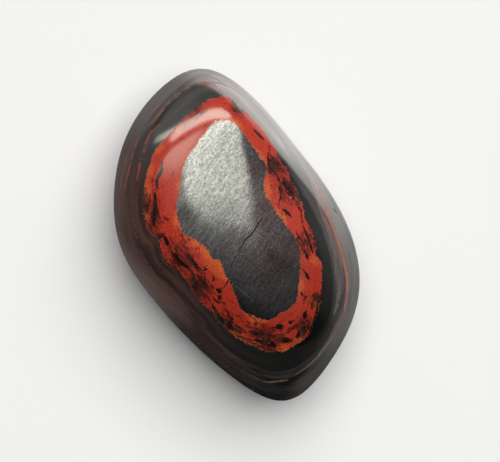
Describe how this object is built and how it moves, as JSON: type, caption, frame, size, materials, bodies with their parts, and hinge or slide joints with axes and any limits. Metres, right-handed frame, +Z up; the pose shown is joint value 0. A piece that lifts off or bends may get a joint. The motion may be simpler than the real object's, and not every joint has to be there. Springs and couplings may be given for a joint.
{
  "type": "banded ironstone pebble",
  "caption": "Tumbled and polished pebble of banded ironstone: dark iron ore with an eye-shaped ring of red jasper on its crown, lying on a small flat spot.",
  "frame": {"origin": "under the middle of the pebble's bounding box, level with the flat spot that it rests on", "axes": "+X along the pebble towards its broad lower end in the picture, +Y across it towards the steep side, +Z up through the crown with the ring of jasper"},
  "size_m": [0.032, 0.0208, 0.013],
  "materials": {
    "banded_ironstone": "polished, dark metallic iron ore with glossy red jasper beds"
  },
  "bodies": {
    "root": {"banded_ironstone": "banded_ironstone"}
  },
  "joints": []
}
